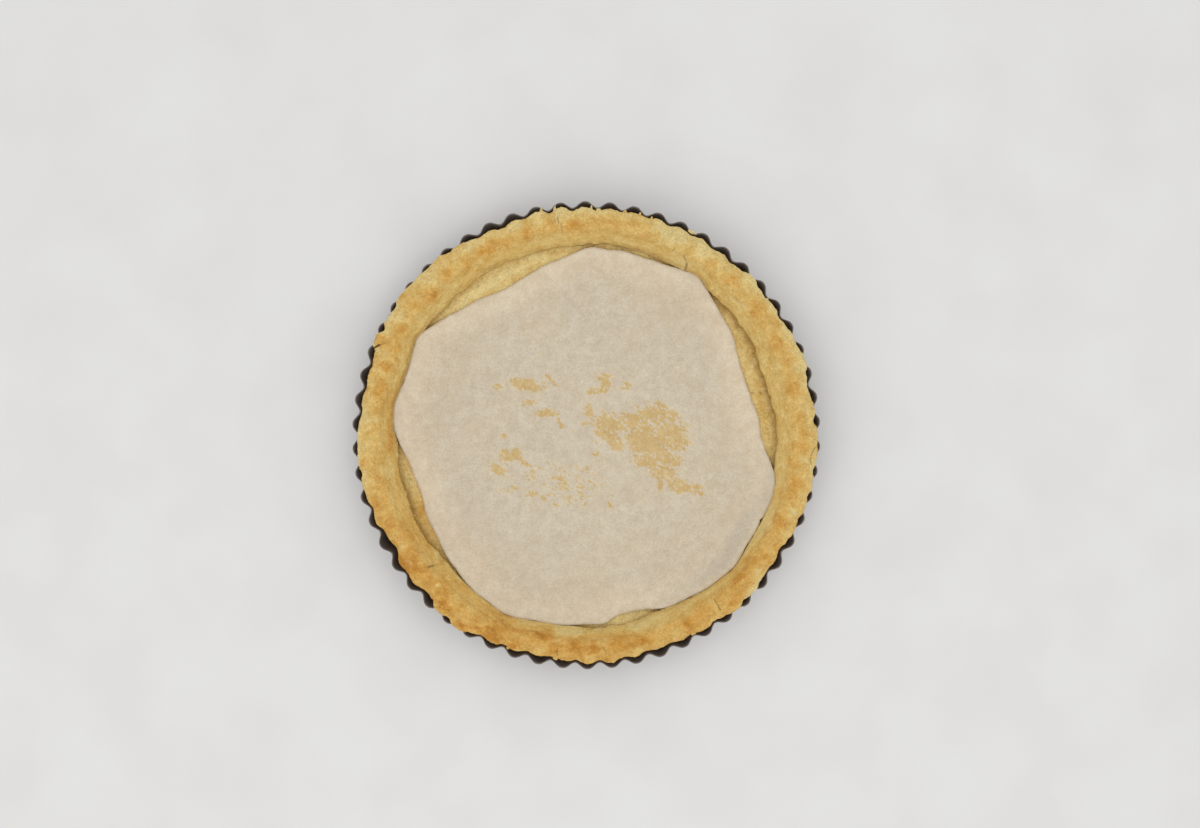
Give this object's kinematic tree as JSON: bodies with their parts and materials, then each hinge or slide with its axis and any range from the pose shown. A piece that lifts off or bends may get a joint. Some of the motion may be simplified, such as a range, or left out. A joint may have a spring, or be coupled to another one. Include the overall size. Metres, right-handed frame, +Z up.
{
  "type": "blind-baked quiche crust in a fluted tart tin",
  "caption": "Round blind-baked pastry case in a dark fluted tart tin, with a broad golden rim that laps the tin's edge in places and a cut sheet of baking paper on its base.",
  "frame": {"origin": "on the surface that the tin stands on, under the centre of the tin", "axes": "+Z up out of the open case; +X to the right and +Y to the top of the picture, which looks straight down"},
  "size_m": [0.2796, 0.28, 0.0338],
  "materials": {
    "tin": "satin",
    "crust": "matte",
    "paper": "matte"
  },
  "bodies": {
    "root": {"tin": "tin", "crust": "crust", "paper": "paper"}
  },
  "joints": []
}
